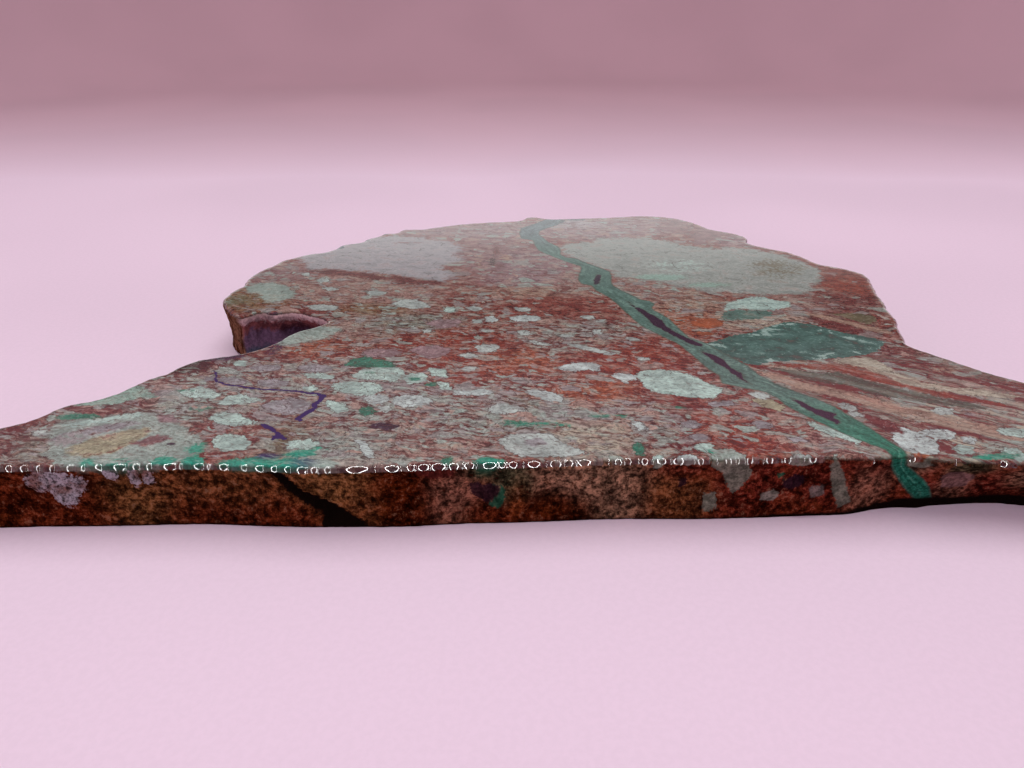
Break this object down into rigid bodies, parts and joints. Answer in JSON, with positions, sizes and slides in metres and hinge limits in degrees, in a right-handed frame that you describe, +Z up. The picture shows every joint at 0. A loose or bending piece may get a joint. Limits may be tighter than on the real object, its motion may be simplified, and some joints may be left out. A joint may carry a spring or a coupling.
{
  "type": "malachite azurite slab",
  "caption": "Sawn and polished slab of brecciated rock with a malachite and azurite vein and a natural broken edge, for display.",
  "frame": {"origin": "centre of the outline's box, on the sawn underside", "axes": "+X along the long front edge to the right, +Y from the front edge to the back, +Z up, out of the polished face"},
  "size_m": [0.139, 0.1002, 0.008],
  "materials": {
    "polished_breccia": "polished on top, wet-looking natural rind on the broken sides, sawn underneath"
  },
  "bodies": {
    "root": {"slab": "polished_breccia"}
  },
  "joints": []
}
